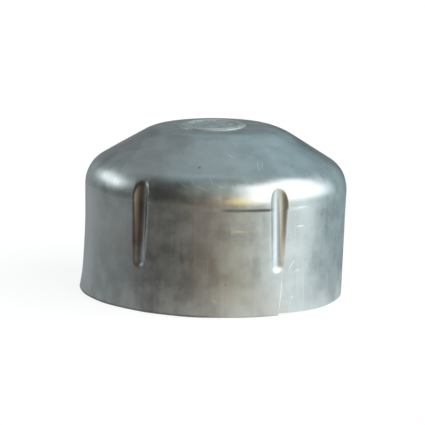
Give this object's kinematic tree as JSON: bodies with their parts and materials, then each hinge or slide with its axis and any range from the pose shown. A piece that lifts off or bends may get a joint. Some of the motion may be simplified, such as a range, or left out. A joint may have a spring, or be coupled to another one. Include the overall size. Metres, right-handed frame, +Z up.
{
  "type": "fence post cap",
  "caption": "Pressed sheet-metal cap that pushes over the top of a round fence post and grips it with six pressed flutes; coned top with a stamped crown disc.",
  "frame": {"origin": "centre of the open rim, on the plane that the rim stands on", "axes": "+Z up along the cap's axis; -Y is the front, with one flute 28 degrees to its right; +X is right"},
  "size_m": [0.0662, 0.0662, 0.0419],
  "materials": {
    "zinc_sheet": "satin zinc-coated sheet with fine vertical drawing marks and a burnished shoulder",
    "disc_metal": "satin stamped metal with a burnished bead"
  },
  "bodies": {
    "root": {"pressed_shell": "zinc_sheet", "crown_disc": "disc_metal"}
  },
  "joints": []
}
